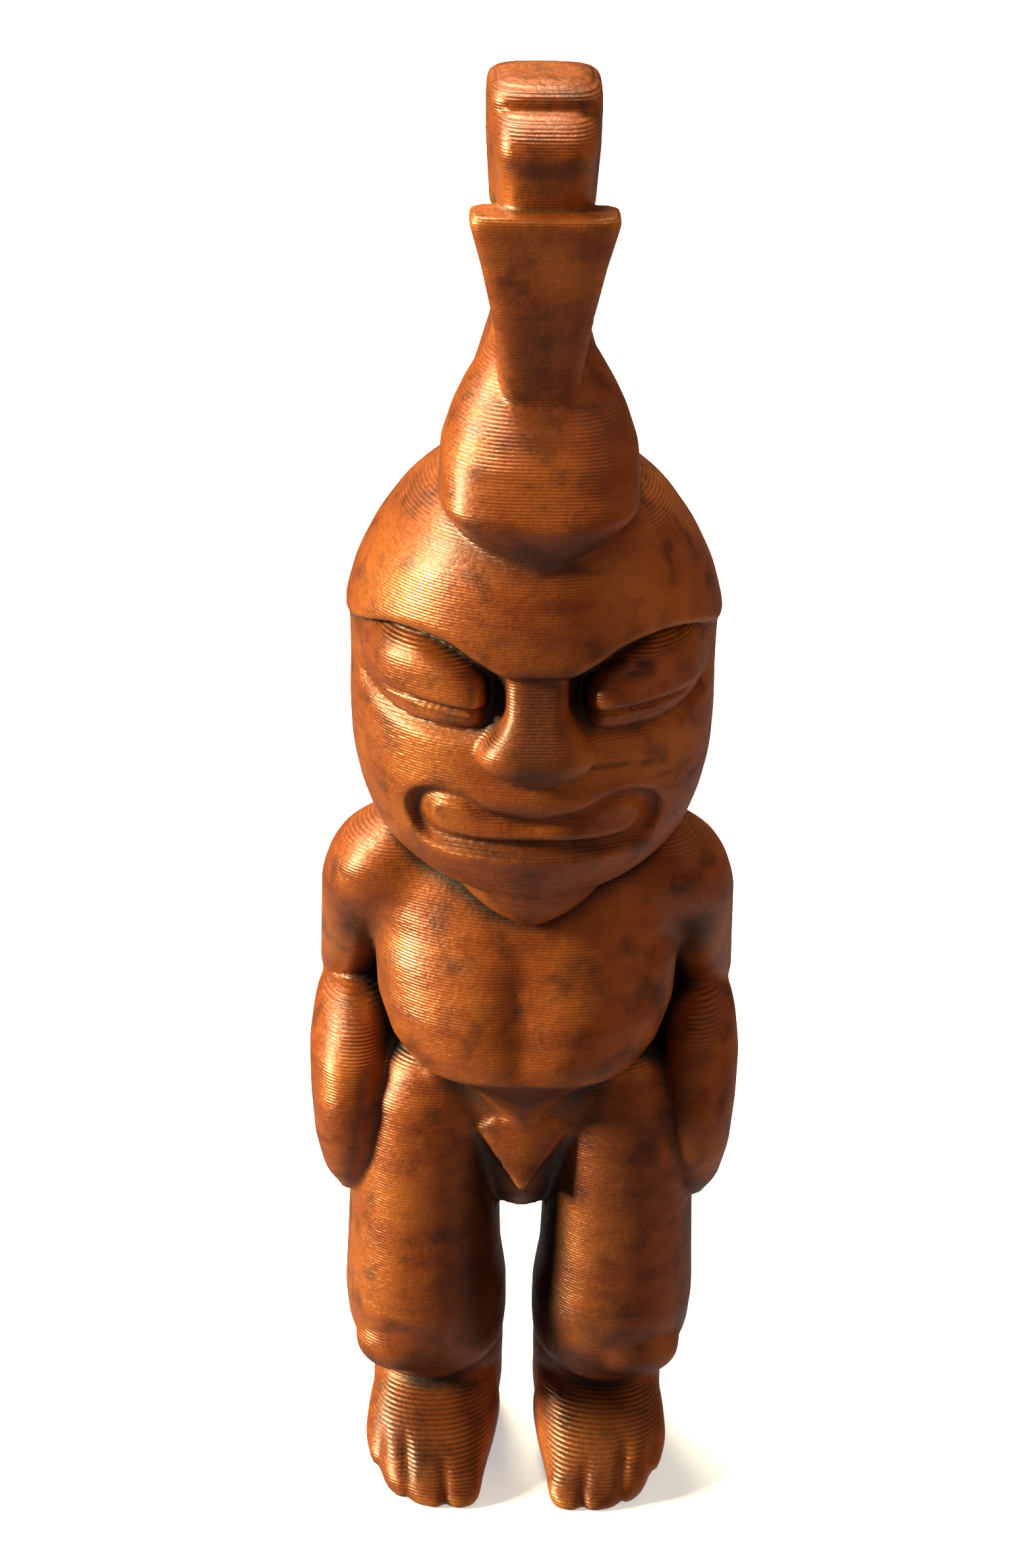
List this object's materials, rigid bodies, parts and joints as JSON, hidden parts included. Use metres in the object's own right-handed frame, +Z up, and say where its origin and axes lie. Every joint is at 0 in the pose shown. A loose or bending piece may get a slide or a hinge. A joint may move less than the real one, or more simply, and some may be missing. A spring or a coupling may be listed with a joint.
{
  "type": "tiki statue",
  "caption": "Small standing tiki figure with a tall stepped crest, closed slit eyes, a wide grimacing mouth, arms at its sides and bent knees, printed in one piece.",
  "frame": {"origin": "on the ground under the middle of the overall box", "axes": "+Z up the figure, -Y out of its face, +X to its left"},
  "size_m": [0.0338, 0.0294, 0.114],
  "materials": {
    "print": "silk copper plastic with fine print layers and a dark stain in the hollows"
  },
  "bodies": {
    "root": {"figure": "print"}
  },
  "joints": []
}
